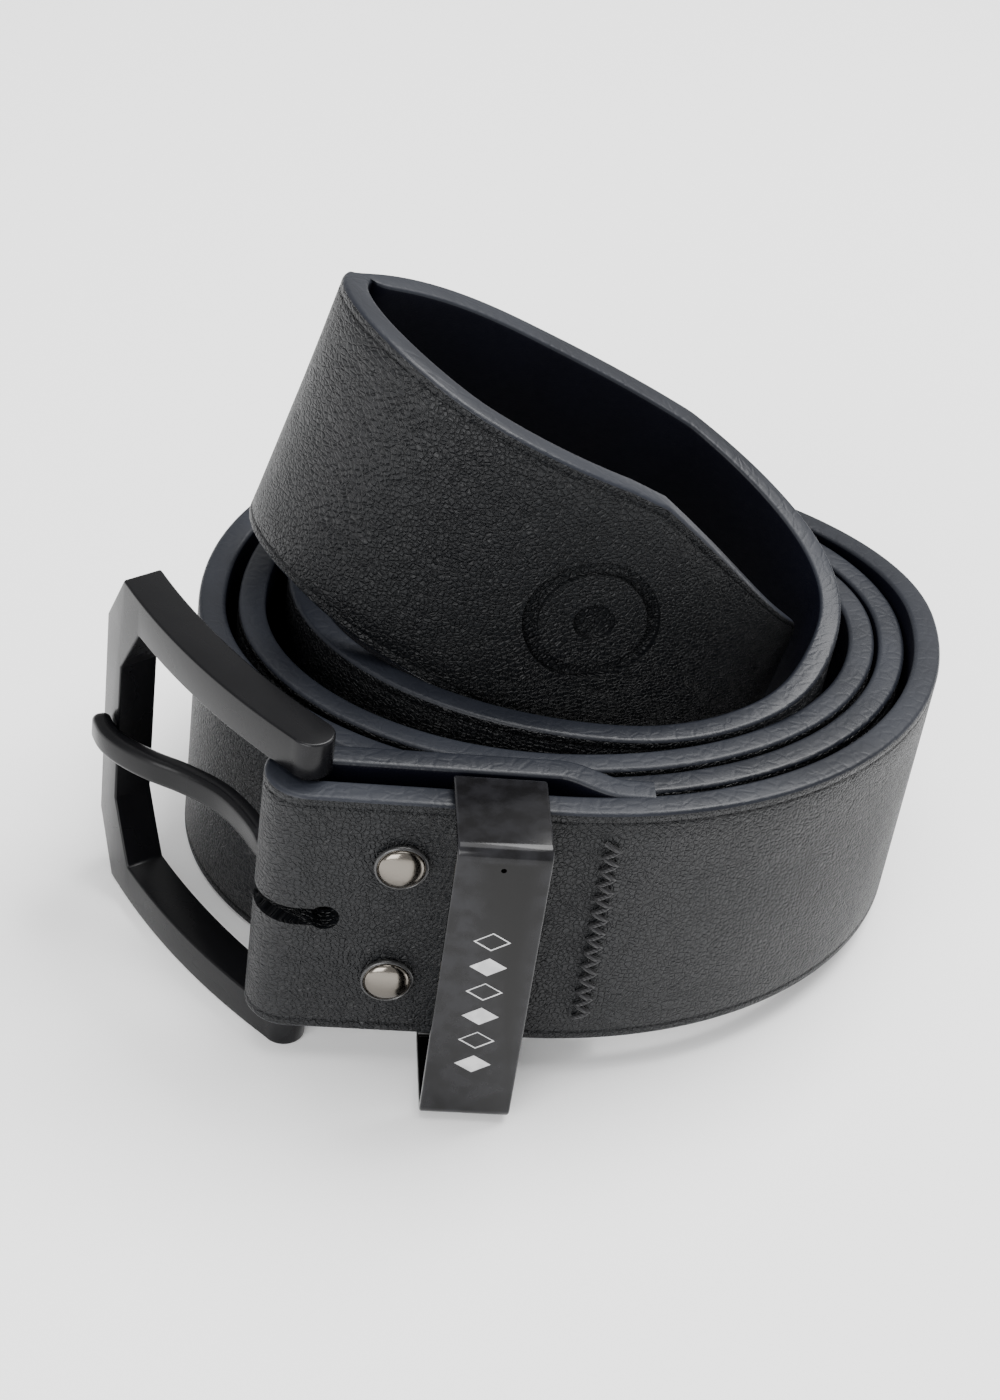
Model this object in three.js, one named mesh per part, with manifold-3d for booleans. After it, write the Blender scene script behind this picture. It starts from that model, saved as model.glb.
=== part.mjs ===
// Coiled leather belt with a pin buckle and a metal keeper, standing on its long edge.
// Millimetres, +Z up, origin on the ground under the middle of the whole belt.
// The coil is wound about a vertical line, counter-clockwise seen from above, from the
// buckle at the front left inwards; its last turn is drawn up out of the coil.
import * as THREE from "three";
import { mergeVertices } from "three/addons/utils/BufferGeometryUtils.js";
import Module from "manifold-3d";

// ---------------------------------------------------------------- driving sizes
const strapWidth = 38;
const strapThickness = 3.7;
const tipLength = 39; // the point narrows over this length
const tipStep = 10.5; // by this much on each edge
const beltHoles = { count: 5, diameter: 4.5, pitch: 25, firstFromTip: 112 };

const buckleLength = 45.5; // over everything, from behind the heel bar to the end bar
const armHeight = 5.4;
const frameThickness = 5.6;
const frameBow = 2.2; // how far the arms curve outwards
const endBarWidth = 5.2;
const corner = { along: 5, down: 8.5 }; // cut off each corner of the end bar
const heelBarDiameter = 2.8;
const heelWall = 1.6; // closes each end of the heel bar's hole
const buckleSwing = 55.6; // degrees the buckle is folded back from the strap's line
const prongThickness = 2.6;
const prongWidth = 4.2;

const keeperLength = 11.5;
const keeperWall = 1.2;
const tailSpace = 8.4; // room in the keeper for the belt's tail
const keeperSlack = 3.6; // the keeper hangs this much below the strap's edge
const keeperFromFold = 28.6; // fold to the keeper's middle

const rivet = { post: 3, cap: 6.8, dome: 1.7, back: 6.2, spacing: 18.7, fromFold: 17.5 };
const bartack = { length: 30, width: 1.6, thickness: 0.7, proud: 0.3, fromFold: 43 };
const slot = { width: 2.7, endDiameter: 3.8, length: 10.2 };

const clearance = 0.3; // between pieces that touch
const runningGap = 0.3; // all round a turning bar

// ---------------------------------------------------------------- worked-out sizes
const armGap = 0.4; // between the strap's edge and each arm
const frameHeight = strapWidth + 2 * (armHeight + armGap);
const strapLift = (frameHeight - strapWidth) / 2; // the buckle holds this end off the ground
const middleHeight = frameHeight / 2;
const foldGap = heelBarDiameter + 2 * runningGap;
const layerPitch = strapThickness + foldGap; // outer layer to folded-back layer

// ---------------------------------------------------------------- the coil's plan
// Each turn touches its own box at the front, right, back and left. Between two of these
// points the strap follows a quarter of an ellipse. `reach` is the middle of the strap's
// thickness from the coil's centre; `aside` is how far round from the axis it touches.
const outerReach = [50, 57.4, 42.4, 41.8];
const outerAside = [1.6, 2.8, 1.2, -2.9];
// Clearance to the wrap outside, in order along the belt after the first turn.
const wrapClearance = [0.4, 0.5, 0.6, 1.7, 1.0, 0.5, 1.0, 2.9, 3.3, 3.5, 4.7, 0, 6.9, 2.1];
const innerAside = [4.4, 12, -1.8, 7.5, 7.3, -6.8, 3.5]; // from the 11th quarter on
const raisedQuarter = 15; // the drawn-up turn passes over the rims at the left
const raisedReach = 36;
const coilEnd = 4.17; // turns from the coil's first front point to the tip
const directions = [[0, -1], [1, 0], [0, 1], [-1, 0]].map((d) => new THREE.Vector2(...d));

function extremePoints() {
  const reach = [...outerReach];
  wrapClearance.forEach((gap, i) => {
    const quarter = i + 4;
    const foldedLayer = quarter === 4 ? layerPitch : 0; // the first turn lies on the fold-back
    const inside = reach[quarter - 4] - strapThickness - foldedLayer - gap;
    reach.push(quarter === raisedQuarter ? raisedReach : inside);
  });
  return reach.map((r, quarter) => {
    const aside = quarter < 11 ? outerAside[quarter % 4] : innerAside[quarter - 11];
    const across = quarter % 2 === 0 ? new THREE.Vector2(aside, 0) : new THREE.Vector2(0, aside);
    return directions[quarter % 4].clone().multiplyScalar(r).add(across);
  });
}

const extremes = extremePoints();

function coilPoint(turns) {
  const quarter = Math.min(Math.floor(turns * 4), extremes.length - 2);
  const angle = (turns * 4 - quarter) * (Math.PI / 2);
  const [from, to] = [extremes[quarter], extremes[quarter + 1]];
  const centre = quarter % 2 === 0 ? new THREE.Vector2(from.x, to.y) : new THREE.Vector2(to.x, from.y);
  return centre
    .clone()
    .addScaledVector(from.clone().sub(centre), Math.cos(angle))
    .addScaledVector(to.clone().sub(centre), Math.sin(angle));
}

// ---------------------------------------------------------------- the strap's whole line
const frontY = -outerReach[0];
const heelX = -28.8; // where the buckle's heel bar stands
const foldX = heelX - foldGap / 2 - strapThickness; // outermost point of the fold
const heel = new THREE.Vector2(heelX, frontY + layerPitch / 2);
const foldBackEnd = foldX + bartack.fromFold + 5;
const layersOpenAt = foldX + 36.5; // the two layers start to close here
const layersCloseOver = 8;

function foldedLayerY(x) {
  const open = 1 - THREE.MathUtils.smoothstep(x, layersOpenAt, layersOpenAt + layersCloseOver);
  return frontY + strapThickness + THREE.MathUtils.lerp(clearance, foldGap, open);
}

function planLine() {
  const line = []; // { at: Vector2, turns }
  const straightStep = 3.6;
  const back = Math.round((foldBackEnd - heelX) / straightStep);
  for (let i = 0; i < back; i += 1) {
    const x = THREE.MathUtils.lerp(foldBackEnd, heelX, i / back);
    line.push({ at: new THREE.Vector2(x, foldedLayerY(x)), turns: -1 });
  }
  const foldSteps = 12;
  for (let i = 0; i <= foldSteps; i += 1) {
    const angle = Math.PI / 2 + (Math.PI * i) / foldSteps;
    const out = new THREE.Vector2(Math.cos(angle), Math.sin(angle));
    line.push({ at: out.multiplyScalar(layerPitch / 2).add(heel), turns: -1 });
  }
  const front = Math.round((extremes[0].x - heelX) / straightStep);
  for (let i = 1; i < front; i += 1) {
    const x = THREE.MathUtils.lerp(heelX, extremes[0].x, i / front);
    line.push({ at: new THREE.Vector2(x, frontY), turns: -1 });
  }
  const coilSteps = 300;
  for (let i = 0; i <= coilSteps; i += 1) {
    const turns = (coilEnd * i) / coilSteps;
    line.push({ at: coilPoint(turns), turns });
  }
  return line;
}

// How the drawn-up turn leans, as [turns, degrees] eased from one to the next: the strap
// climbs where it leans backwards along its own way, and it leans in towards the coil.
const climbStations = [
  [2.98, 0], [3.2, 11], [3.4, 24.5], [3.6, 24.5], [3.76, 5], [3.9, -20.5], [4.05, -29], [4.2, -17],
];
const leanInStations = [[3.15, 0], [3.5, 9], [3.75, 16], [4, 4], [4.2, -2]];
const liftedTurns = 0.45; // the strap comes down to the ground over this much of a turn

function sineAt(stations, turns) {
  let degrees = 0;
  for (let i = 1; i < stations.length; i += 1) {
    const [[fromTurns, from], [toTurns, to]] = [stations[i - 1], stations[i]];
    degrees += (to - from) * THREE.MathUtils.smoothstep(turns, fromTurns, toTurns);
  }
  return Math.sin(THREE.MathUtils.degToRad(degrees));
}

// One frame per step: base point on the lower edge, direction across the width, outward face.
// The strap isn't sheared, so where it leans along its own way it climbs or comes down.
function strapFrames() {
  const line = planLine();
  const frames = [];
  let climb = 0;
  let length = 0;
  line.forEach(({ at, turns }, i) => {
    const before = line[Math.max(i - 1, 0)].at;
    const after = line[Math.min(i + 1, line.length - 1)].at;
    const way = after.clone().sub(before).normalize();
    const out = new THREE.Vector2(way.y, -way.x);
    const climbing = sineAt(climbStations, turns);
    const lean = way.multiplyScalar(-climbing).addScaledVector(out, -sineAt(leanInStations, turns));
    const upright = Math.sqrt(1 - lean.lengthSq());
    const step = at.distanceTo(before);
    climb += (step * climbing) / upright;
    length += step;
    const lift = strapLift * (1 - THREE.MathUtils.smoothstep(turns, 0, liftedTurns));
    frames.push({
      length,
      base: new THREE.Vector3(at.x, at.y, climb + lift),
      across: new THREE.Vector3(lean.x, lean.y, upright),
    });
  });
  frames.forEach((frame, i) => {
    const before = frames[Math.max(i - 1, 0)].base;
    const after = frames[Math.min(i + 1, frames.length - 1)].base;
    frame.out = after.clone().sub(before).cross(frame.across).normalize();
  });
  return frames;
}

const frames = strapFrames();
const strapLength = frames.at(-1).length;

function frameAtLength(length) {
  return frames.find((frame) => frame.length >= length);
}

// ---------------------------------------------------------------- joining and cutting
const wasm = await Module();
wasm.setup();

function solid(geometry) {
  const bare = geometry.clone();
  bare.deleteAttribute("normal");
  bare.deleteAttribute("uv");
  const merged = mergeVertices(bare, 1e-4);
  const vertProperties = new Float32Array(merged.attributes.position.array);
  const triVerts = new Uint32Array(merged.index.array);
  return new wasm.Manifold(new wasm.Mesh({ numProp: 3, vertProperties, triVerts }));
}

function geometryOf(manifold) {
  const mesh = manifold.getMesh();
  const geometry = new THREE.BufferGeometry();
  geometry.setAttribute("position", new THREE.BufferAttribute(mesh.vertProperties, 3));
  geometry.setIndex(new THREE.BufferAttribute(mesh.triVerts, 1));
  geometry.computeVertexNormals();
  return geometry;
}

// A shape drawn in plan (x, y), standing from z = low to z = high.
function upright(shape, low, high, curveSegments = 8) {
  const geometry = new THREE.ExtrudeGeometry(shape, {
    depth: high - low,
    bevelEnabled: false,
    curveSegments,
  });
  return geometry.translate(0, 0, low);
}

// A shape drawn facing the front (x, z), reaching from y = near to y = far.
function facing(shape, near, far, curveSegments = 8) {
  const geometry = new THREE.ExtrudeGeometry(shape, {
    depth: far - near,
    bevelEnabled: false,
    curveSegments,
  });
  return geometry.rotateX(Math.PI / 2).translate(0, far, 0);
}

function rod(diameter, near, far, x, z, sides = 24) {
  const geometry = new THREE.CylinderGeometry(diameter / 2, diameter / 2, far - near, sides);
  return geometry.translate(x, (near + far) / 2, z);
}

// ---------------------------------------------------------------- strap
function tipHalfWidth(length) {
  const left = strapLength - length;
  const taper = THREE.MathUtils.clamp(1 - left / tipLength, 0, 1);
  return strapWidth / 2 - tipStep * taper;
}

function bentStrap() {
  const steps = frames.length - 1;
  const geometry = new THREE.BoxGeometry(steps, strapThickness, strapWidth, steps, 1, 3);
  const position = geometry.attributes.position;
  const point = new THREE.Vector3();
  for (let i = 0; i < position.count; i += 1) {
    const frame = frames[Math.round(position.getX(i) + steps / 2)];
    const fromMiddle = (position.getZ(i) * 2 * tipHalfWidth(frame.length)) / strapWidth;
    point
      .copy(frame.base)
      .addScaledVector(frame.out, -position.getY(i))
      .addScaledVector(frame.across, strapWidth / 2 + fromMiddle);
    position.setXYZ(i, point.x, point.y, point.z);
  }
  return geometry;
}

function beltHoleCutter(number) {
  const fromTip = beltHoles.firstFromTip + number * beltHoles.pitch;
  const frame = frameAtLength(strapLength - fromTip);
  const radius = beltHoles.diameter / 2;
  const cutter = new THREE.CylinderGeometry(radius, radius, strapThickness * 3, 20);
  const turn = new THREE.Quaternion().setFromUnitVectors(new THREE.Vector3(0, 1, 0), frame.out);
  const middle = frame.base.clone().addScaledVector(frame.across, strapWidth / 2);
  return cutter.applyQuaternion(turn).translate(middle.x, middle.y, middle.z);
}

const outerFaceY = frontY - strapThickness / 2;
const foldedFaceY = frontY + layerPitch + strapThickness / 2; // its far face
const rivetX = foldX + rivet.fromFold;
const rivetHeights = [middleHeight + rivet.spacing / 2, middleHeight - rivet.spacing / 2];
const bartackX = foldX + bartack.fromFold;
const bartackBackY = foldedLayerY(bartackX) + strapThickness / 2;

function prongSlotCutter() {
  const shape = new THREE.Shape();
  const end = foldX + slot.length - slot.endDiameter / 2;
  const half = slot.width / 2;
  const bulge = slot.endDiameter / 2;
  const meet = Math.asin(half / bulge);
  shape.moveTo(foldX - 2, middleHeight - half);
  shape.lineTo(end - bulge * Math.cos(meet), middleHeight - half);
  shape.absarc(end, middleHeight, bulge, -(Math.PI - meet), Math.PI - meet, false);
  shape.lineTo(foldX - 2, middleHeight + half);
  return facing(shape, outerFaceY - 1, foldedFaceY + 1, 10);
}

// The stitches sink into a shallow groove in the leather's face.
function grooveCutter(faceY) {
  const width = bartack.width + 2 * clearance;
  const length = bartack.length + 2 * clearance;
  const depth = bartack.thickness - bartack.proud + clearance;
  return new THREE.BoxGeometry(width, 2 * depth, length).translate(bartackX, faceY, middleHeight);
}

function strapGeometry() {
  let body = solid(bentStrap());
  for (let i = 0; i < beltHoles.count; i += 1) body = body.subtract(solid(beltHoleCutter(i)));
  body = body.subtract(solid(prongSlotCutter()));
  rivetHeights.forEach((z) => {
    const hole = rod(rivet.post + 2 * clearance, outerFaceY - 1, foldedFaceY + 1, rivetX, z, 20);
    body = body.subtract(solid(hole));
  });
  body = body.subtract(solid(grooveCutter(outerFaceY)));
  body = body.subtract(solid(grooveCutter(bartackBackY)));
  return geometryOf(body);
}

// ---------------------------------------------------------------- buckle, drawn in line
// with the strap: the heel bar at x = 0, the end bar towards -x, outwards is -y.
const heelBoss = frameThickness / 2;
const endX = heelBoss - buckleLength;

function bowedBand(thickness, bow, fromX, toX) {
  const half = thickness / 2;
  const middle = (fromX + toX) / 2;
  const shape = new THREE.Shape();
  shape.moveTo(fromX, -half);
  shape.absarc(0, 0, half, -Math.PI / 2, Math.PI / 2, false);
  shape.quadraticCurveTo(middle, half - 2 * bow, toX, half);
  shape.lineTo(toX, -half);
  shape.quadraticCurveTo(middle, -half - 2 * bow, fromX, -half);
  return shape;
}

function frameGeometry() {
  const half = frameHeight / 2;
  const side = upright(bowedBand(frameThickness, frameBow, 0, endX), -half, half, 14);
  const opening = strapWidth / 2 + armGap;
  const { along: cornerAlong, down: cornerDown } = corner;
  const innerX = endX + endBarWidth;
  const outline = new THREE.Shape();
  outline.moveTo(heelBoss + 1, half);
  outline.lineTo(endX + cornerAlong, half);
  outline.lineTo(endX, half - cornerDown);
  outline.lineTo(endX, cornerDown - half);
  outline.lineTo(endX + cornerAlong, -half);
  outline.lineTo(heelBoss + 1, -half);
  outline.lineTo(heelBoss + 1, -opening);
  outline.lineTo(innerX + cornerAlong, -opening);
  outline.lineTo(innerX, cornerDown - opening);
  outline.lineTo(innerX, opening - cornerDown);
  outline.lineTo(innerX + cornerAlong, opening);
  outline.lineTo(heelBoss + 1, opening);
  const reach = frameThickness / 2 + frameBow + 1;
  const face = facing(outline, -reach, reach);
  const boreLength = frameHeight - 2 * heelWall;
  const bore = new THREE.CylinderGeometry(foldGap / 2, foldGap / 2, boreLength, 24);
  bore.rotateX(Math.PI / 2);
  return geometryOf(solid(side).intersect(solid(face)).subtract(solid(bore)));
}

function heelBarGeometry() {
  const radius = heelBarDiameter / 2;
  const length = frameHeight - 2 * (heelWall + clearance);
  const bar = new THREE.CylinderGeometry(radius, radius, length, 24);
  return bar.rotateX(Math.PI / 2);
}

// The prong loops round the heel bar, dips into the window and lies on the end bar. Its side
// is drawn along x with y to the inside; the root is thin enough for the strap's slot.
// Its shank dips by `dip` and starts to rise `rise` before the end bar's inner edge.
const prong = { root: 8, dip: 1.6, rise: 10.5, overhang: 1, eyeWall: 1.2, flare: 1.2 };

function prongSide() {
  const half = prongThickness / 2;
  const barEdge = endX + endBarWidth;
  const under = -(frameThickness / 2 + clearance); // lies on the end bar's outer face
  const over = under - prongThickness;
  const tip = endX + prong.overhang;
  const { dip, flare } = prong; // the bend over the bar's edge stands out by the flare
  const rise = barEdge + prong.rise;
  const [first, second] = [0.47 * rise, 0.73 * rise]; // where the shank's curve is pulled
  const side = new THREE.Shape();
  side.moveTo(-1, -half - flare);
  side.bezierCurveTo(first, dip - half, second, dip - half - 1, rise, over + 2 * flare);
  side.bezierCurveTo(rise - 3, over + 1, barEdge + 3, over - flare, barEdge, over - flare);
  side.lineTo(tip + flare, over - clearance);
  side.quadraticCurveTo(tip, over, tip, under - clearance);
  side.lineTo(barEdge, under - flare);
  side.bezierCurveTo(barEdge + 3, under - flare, rise, dip - half, rise + 3, dip);
  side.bezierCurveTo(second, dip + half, first, dip + half + 0.6, -1, half + flare);
  return side;
}

function prongGeometry() {
  const eye = foldGap / 2;
  const rootWidth = slot.width - 2 * clearance;
  const shank = upright(prongSide(), -prongWidth / 2, prongWidth / 2, 10);
  const ring = new THREE.CylinderGeometry(eye + prong.eyeWall, eye + prong.eyeWall, rootWidth, 28);
  const bore = new THREE.CylinderGeometry(eye, eye, prongWidth + 2, 24);
  let body = solid(shank);
  [-1, 1].forEach((side) => {
    const waste = new THREE.BoxGeometry(2 * prong.root, 4 * prong.root, prongWidth);
    body = body.subtract(solid(waste.translate(0, 0, side * (rootWidth + prongWidth) / 2)));
  });
  body = body.add(solid(ring.rotateX(Math.PI / 2)));
  return geometryOf(body.subtract(solid(bore.rotateX(Math.PI / 2))));
}

// ---------------------------------------------------------------- keeper and fastenings
const keeperX = foldX + keeperFromFold;
const keeperFrontY = outerFaceY - tailSpace - keeperWall;
const keeperBackY = frontY + strapThickness / 2 + clearance + keeperWall;
const keeperTop = strapLift + strapWidth + clearance + keeperWall;
const keeperBottom = strapLift - clearance - keeperWall - keeperSlack;

function roundedRectangle(target, y0, z0, y1, z1, radius) {
  target.moveTo(y0 + radius, z0);
  target.lineTo(y1 - radius, z0);
  target.absarc(y1 - radius, z0 + radius, radius, -Math.PI / 2, 0, false);
  target.lineTo(y1, z1 - radius);
  target.absarc(y1 - radius, z1 - radius, radius, 0, Math.PI / 2, false);
  target.lineTo(y0 + radius, z1);
  target.absarc(y0 + radius, z1 - radius, radius, Math.PI / 2, Math.PI, false);
  target.lineTo(y0, z0 + radius);
  target.absarc(y0 + radius, z0 + radius, radius, Math.PI, 1.5 * Math.PI, false);
  return target;
}

function keeperGeometry() {
  const outerRadius = 2;
  const innerRadius = outerRadius - keeperWall;
  const ring = roundedRectangle(
    new THREE.Shape(), keeperFrontY, keeperBottom, keeperBackY, keeperTop, outerRadius,
  );
  const inside = roundedRectangle(
    new THREE.Path(),
    keeperFrontY + keeperWall,
    keeperBottom + keeperWall,
    keeperBackY - keeperWall,
    keeperTop - keeperWall,
    innerRadius,
  );
  ring.holes.push(inside);
  const geometry = new THREE.ExtrudeGeometry(ring, {
    depth: keeperLength,
    bevelEnabled: false,
    curveSegments: 6,
  });
  // Drawn in (y, z) and reaching along x.
  const [alongX, alongY, alongZ] = [0, 1, 2].map((n) => new THREE.Vector3().setComponent(n, 1));
  const turn = new THREE.Matrix4().makeBasis(alongY, alongZ, alongX);
  return geometry.applyMatrix4(turn.setPosition(keeperX - keeperLength / 2, 0, 0));
}

// A domed cap on the outer face with the post that passes through both layers.
function rivetCapGeometry() {
  const face = clearance;
  const radius = rivet.cap / 2;
  const through = foldedFaceY - outerFaceY - clearance;
  const profile = [[0, -through], [rivet.post / 2, -through], [rivet.post / 2, face], [radius, face]];
  const steps = 8;
  for (let i = 0; i <= steps; i += 1) {
    const angle = (i / steps) * (Math.PI / 2);
    profile.push([radius * Math.cos(angle), face + 0.3 + (rivet.dome - 0.3) * Math.sin(angle)]);
  }
  profile[profile.length - 1][0] = 0;
  const lathe = new THREE.LatheGeometry(profile.map((p) => new THREE.Vector2(...p)), 28);
  return lathe.rotateX(Math.PI); // the dome faces -y and the post runs back to +y
}

function rivetBackGeometry() {
  const low = clearance;
  const radius = rivet.back / 2;
  const profile = [[0, low], [radius, low], [radius, low + 0.5], [radius * 0.7, low + 1], [0, low + 1]];
  return new THREE.LatheGeometry(profile.map((p) => new THREE.Vector2(...p)), 28);
}

function threadGeometry() {
  const shape = roundedRectangle(
    new THREE.Shape(), -bartack.width / 2, -bartack.length / 2, bartack.width / 2,
    bartack.length / 2, bartack.width / 2 - 0.05,
  );
  return facing(shape, -bartack.thickness / 2, bartack.thickness / 2, 4);
}

// ---------------------------------------------------------------- finishes
const leather = { color: 0x23262a, roughness: 0.62, metalness: 0 };
const gunmetal = { color: 0x1c1e21, roughness: 0.32, metalness: 0.85 };
const blackNickel = { color: 0x6a6258, roughness: 0.18, metalness: 1 };
const thread = { color: 0x0b0b0c, roughness: 0.8, metalness: 0 };

function piece(name, geometry, finish) {
  const mesh = new THREE.Mesh(geometry, new THREE.MeshStandardMaterial(finish));
  mesh.name = name;
  return mesh;
}

// ---------------------------------------------------------------- assembly
const belt = new THREE.Group();
belt.add(piece("strap", strapGeometry(), leather));

const buckle = new THREE.Group();
buckle.position.set(heel.x, heel.y, middleHeight);
buckle.rotation.z = -THREE.MathUtils.degToRad(buckleSwing);
buckle.add(piece("buckle_frame", frameGeometry(), gunmetal));
buckle.add(piece("heel_bar", heelBarGeometry(), gunmetal));
buckle.add(piece("prong", prongGeometry(), gunmetal));
belt.add(buckle);

belt.add(piece("keeper", keeperGeometry(), gunmetal));

["upper", "lower"].forEach((place, i) => {
  const cap = piece(`rivet_cap_${place}`, rivetCapGeometry(), blackNickel);
  cap.position.set(rivetX, outerFaceY, rivetHeights[i]);
  const back = piece(`rivet_back_${place}`, rivetBackGeometry(), blackNickel);
  back.position.set(rivetX, foldedFaceY, rivetHeights[i]);
  belt.add(cap, back);
});

const sunk = bartack.thickness / 2 - bartack.proud; // below the leather's face
const front = piece("bartack_needle_thread", threadGeometry(), thread);
front.position.set(bartackX, outerFaceY + sunk, middleHeight);
const back = piece("bartack_bobbin_thread", threadGeometry(), thread);
back.position.set(bartackX, bartackBackY - sunk, middleHeight);
belt.add(front, back);

// The origin is on the ground under the middle of the whole belt's box.
belt.updateMatrixWorld(true);
const box = new THREE.Box3().setFromObject(belt, true);
const middle = box.getCenter(new THREE.Vector3());
belt.position.set(-middle.x, -middle.y, -box.min.z);

export default belt;
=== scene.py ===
# %% [markdown]
# # A leather belt wound into a coil
#
# The belt stands on its long edge. Its strap is one length of leather, folded back over the
# buckle's heel bar and wound inwards four times, with the last turn drawn up out of the coil.
# The mechanical pieces were designed first, as solids. Here they become the frame that
# every visible piece is built around, in metres and in the same place.

# %% Load the frame
import math
import bmesh
import bpy
import numpy as np
from mathutils import Matrix, Vector


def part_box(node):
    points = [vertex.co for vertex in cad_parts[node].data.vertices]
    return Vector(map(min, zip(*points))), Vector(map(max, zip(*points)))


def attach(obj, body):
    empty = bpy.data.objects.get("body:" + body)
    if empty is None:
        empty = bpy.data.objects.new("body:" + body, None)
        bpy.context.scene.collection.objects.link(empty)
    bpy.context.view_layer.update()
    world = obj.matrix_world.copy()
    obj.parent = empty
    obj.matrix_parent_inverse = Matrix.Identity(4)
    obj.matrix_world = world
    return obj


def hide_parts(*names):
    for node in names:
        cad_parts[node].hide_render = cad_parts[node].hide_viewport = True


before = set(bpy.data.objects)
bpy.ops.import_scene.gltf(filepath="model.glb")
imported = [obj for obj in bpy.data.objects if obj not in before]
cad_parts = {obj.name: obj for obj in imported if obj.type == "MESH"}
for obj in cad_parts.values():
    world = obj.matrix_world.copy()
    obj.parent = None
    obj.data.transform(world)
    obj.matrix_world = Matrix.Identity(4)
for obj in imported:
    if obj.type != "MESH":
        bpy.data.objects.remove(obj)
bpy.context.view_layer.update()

MM = 0.001

# %% [markdown]
# ## Working like a hand at the bench
#
# Every piece starts as a primitive and is shaped in edit mode. Operators act on whatever is
# selected, so these helpers first clear the selection and then pick faces, edges or vertices
# by where they are. `settle` applies a piece's place, so that its object ends at the origin.

# %% Bench helpers
def only(piece):
    bpy.ops.object.select_all(action="DESELECT")
    piece.select_set(True)
    bpy.context.view_layer.objects.active = piece


def settle(piece):
    only(piece)
    bpy.ops.object.transform_apply(location=True, rotation=True, scale=True)


def block(name, low, high):
    """A box between two corners."""
    low, high = Vector(low), Vector(high)
    bpy.ops.object.select_all(action="DESELECT")
    bpy.ops.mesh.primitive_cube_add(size=1, location=(low + high) / 2)
    piece = bpy.context.object
    piece.name = name
    piece.scale = high - low
    settle(piece)
    return piece


def rod(name, radius, start, end, sides=32):
    """A cylinder from start to end."""
    start, end = Vector(start), Vector(end)
    bpy.ops.object.select_all(action="DESELECT")
    bpy.ops.mesh.primitive_cylinder_add(
        vertices=sides, radius=radius, depth=(end - start).length, location=(start + end) / 2
    )
    piece = bpy.context.object
    piece.name = name
    piece.rotation_euler = (end - start).to_track_quat("Z", "Y").to_euler()
    settle(piece)
    return piece


def edit(piece):
    only(piece)
    bpy.ops.object.mode_set(mode="EDIT")
    bpy.ops.mesh.select_all(action="SELECT")


def done():
    bpy.ops.object.mode_set(mode="OBJECT")


def pick(piece, kind, test):
    """In edit mode, selects the elements of one kind that pass the test."""
    bpy.ops.mesh.select_mode(type=kind)
    bpy.ops.mesh.select_all(action="DESELECT")
    shape = bmesh.from_edit_mesh(piece.data)
    elements = {"VERT": shape.verts, "EDGE": shape.edges, "FACE": shape.faces}[kind]
    for element in elements:
        if test(element):
            element.select_set(True)
    shape.select_flush_mode()
    bmesh.update_edit_mesh(piece.data)


def runs_along(axis):
    """A test for edges parallel to one axis."""
    def test(edge):
        way = edge.verts[1].co - edge.verts[0].co
        return abs(way[axis]) > 0.99 * way.length
    return test


def cut_across(piece, axis, places):
    """Cuts a loop round the piece at each place along an axis."""
    normal = [0, 0, 0]
    normal[axis] = 1
    for place in places:
        bpy.ops.mesh.select_all(action="SELECT")
        bpy.ops.mesh.bisect(plane_co=[place * n for n in normal], plane_no=normal)


def modify(piece, kind, **settings):
    """Adds a modifier and applies it."""
    only(piece)
    modifier = piece.modifiers.new(kind.title(), kind)
    for setting, value in settings.items():
        setattr(modifier, setting, value)
    bpy.ops.object.modifier_apply(modifier=modifier.name)


def carve(piece, cutter, operation="DIFFERENCE"):
    modify(piece, "BOOLEAN", object=cutter, operation=operation, solver="EXACT")
    bpy.data.objects.remove(cutter, do_unlink=True)


def join(pieces):
    bpy.ops.object.select_all(action="DESELECT")
    for piece in pieces:
        piece.select_set(True)
    bpy.context.view_layer.objects.active = pieces[0]
    if len(pieces) > 1:
        bpy.ops.object.join()
    return pieces[0]


def smooth(piece, degrees=40):
    only(piece)
    bpy.ops.object.shade_smooth_by_angle(angle=math.radians(degrees))


def points_of(piece):
    flat = np.empty(len(piece.data.vertices) * 3)
    piece.data.vertices.foreach_get("co", flat)
    return flat.reshape(-1, 3)


def move_points(piece, places):
    piece.data.vertices.foreach_set("co", np.asarray(places, dtype=float).ravel())
    piece.data.update()


# %% [markdown]
# ## The camera and the light
#
# A belt this small is seen from close by, looking down at it. The camera is placed
# from the point it looks at, backwards along its view, and it's rolled a little. Black leather
# shows its grain only in soft reflections, so the lights are large and stand to the sides.

# %% Camera
AIM = Vector((-0.00125, 0.0110, 0.0200))
DISTANCE = 0.362
ELEVATION = math.radians(36.2)
AZIMUTH = math.radians(-8.2)
ROLL = math.radians(8.8)
FOCAL_LENGTH = 65
SENSOR = 36


def look_from(azimuth, elevation, roll):
    forward = Vector((
        -math.sin(azimuth) * math.cos(elevation),
        math.cos(azimuth) * math.cos(elevation),
        -math.sin(elevation),
    ))
    level = Vector((math.cos(azimuth), math.sin(azimuth), 0))
    upward = level.cross(forward)
    right = math.cos(roll) * level + math.sin(roll) * upward
    up = math.cos(roll) * upward - math.sin(roll) * level
    return forward, Matrix((right, up, -forward)).transposed()


view_way, view_turn = look_from(AZIMUTH, ELEVATION, ROLL)
lens = bpy.data.cameras.new("camera")
lens.lens = FOCAL_LENGTH
lens.sensor_width = SENSOR
lens.clip_start = 0.01
camera = bpy.data.objects.new("camera", lens)
camera.matrix_world = Matrix.Translation(AIM - DISTANCE * view_way) @ view_turn.to_4x4()
bpy.context.scene.collection.objects.link(camera)
bpy.context.scene.camera = camera
print("camera at", [round(c, 3) for c in camera.location])

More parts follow.
